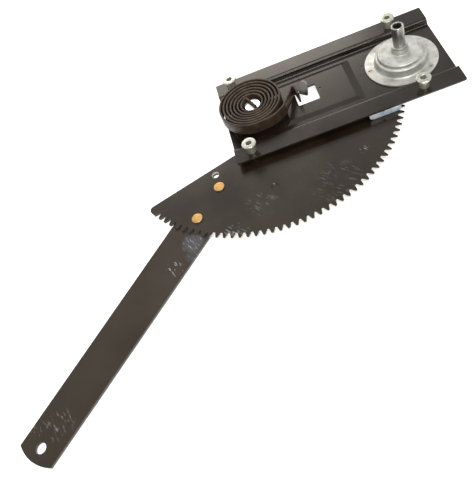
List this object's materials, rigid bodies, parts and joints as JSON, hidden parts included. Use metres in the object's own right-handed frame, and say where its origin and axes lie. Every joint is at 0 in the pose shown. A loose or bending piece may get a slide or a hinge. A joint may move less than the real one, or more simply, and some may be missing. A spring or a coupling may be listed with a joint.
{
  "type": "window regulator",
  "caption": "Hand-cranked car window regulator: hat-channel base, spring-brake hub with crank spindle, toothed sector with a long lift arm, and a flat spiral counter spring.",
  "frame": {"origin": "centre of the rectangle of the four spacer nuts, on the plane of their outer faces, where the regulator bolts to the door's inner panel", "axes": "+X along the base from the sector's pivot to the crank hub, +Y across the base away from the teeth, +Z out of the mounting plane towards the crank handle"},
  "size_m": [0.483, 0.3633, 0.0562],
  "materials": {
    "black_paint": "gloss",
    "nut_plating": "satin",
    "hub_plating": "satin",
    "rivet_plating": "satin",
    "spring_steel": "satin",
    "bright_steel": "satin",
    "spindle_steel": "satin",
    "plain_steel": "satin",
    "bronze": "satin"
  },
  "bodies": {
    "base": {"base_plate": "black_paint", "spacer_nuts": "nut_plating", "hub_housing": "hub_plating", "housing_rivets": "rivet_plating", "brake_drum": "plain_steel", "pivot_bush": "bronze", "sector_guide": "nut_plating", "pinion_bracket": "black_paint", "spindle_bush": "bronze", "pinion_bush": "bronze", "counter_spring": "spring_steel"},
    "sector": {"sector_gear": "black_paint", "lift_arm": "black_paint", "arm_rivets": "rivet_plating", "pivot_post": "bright_steel", "pivot_washer": "plain_steel", "staking_washer": "bright_steel"},
    "crank": {"crank_spindle": "spindle_steel", "retaining_ring": "spindle_steel", "spindle_driver": "plain_steel", "thrust_washer": "plain_steel", "brake_spring": "spring_steel", "pinion_carrier": "plain_steel", "pinion_gear": "plain_steel"}
  },
  "joints": [
    {"name": "sector_pivot", "type": "hinge", "parent": "base", "child": "sector", "pos_m": [-0.07405, 0, -0.021], "axis": [0, 0, 1], "range_deg": [0, 90], "deforming": ["counter_spring"]},
    {"name": "crank_spin", "type": "hinge", "parent": "base", "child": "crank", "pos_m": [0.0847, 0, 0], "axis": [0, 0, 1], "range_deg": [-1560, 20]}
  ],
  "couplings": [
    {"joint": "crank_spin", "follows": "sector_pivot", "ratio": -17.143}
  ]
}
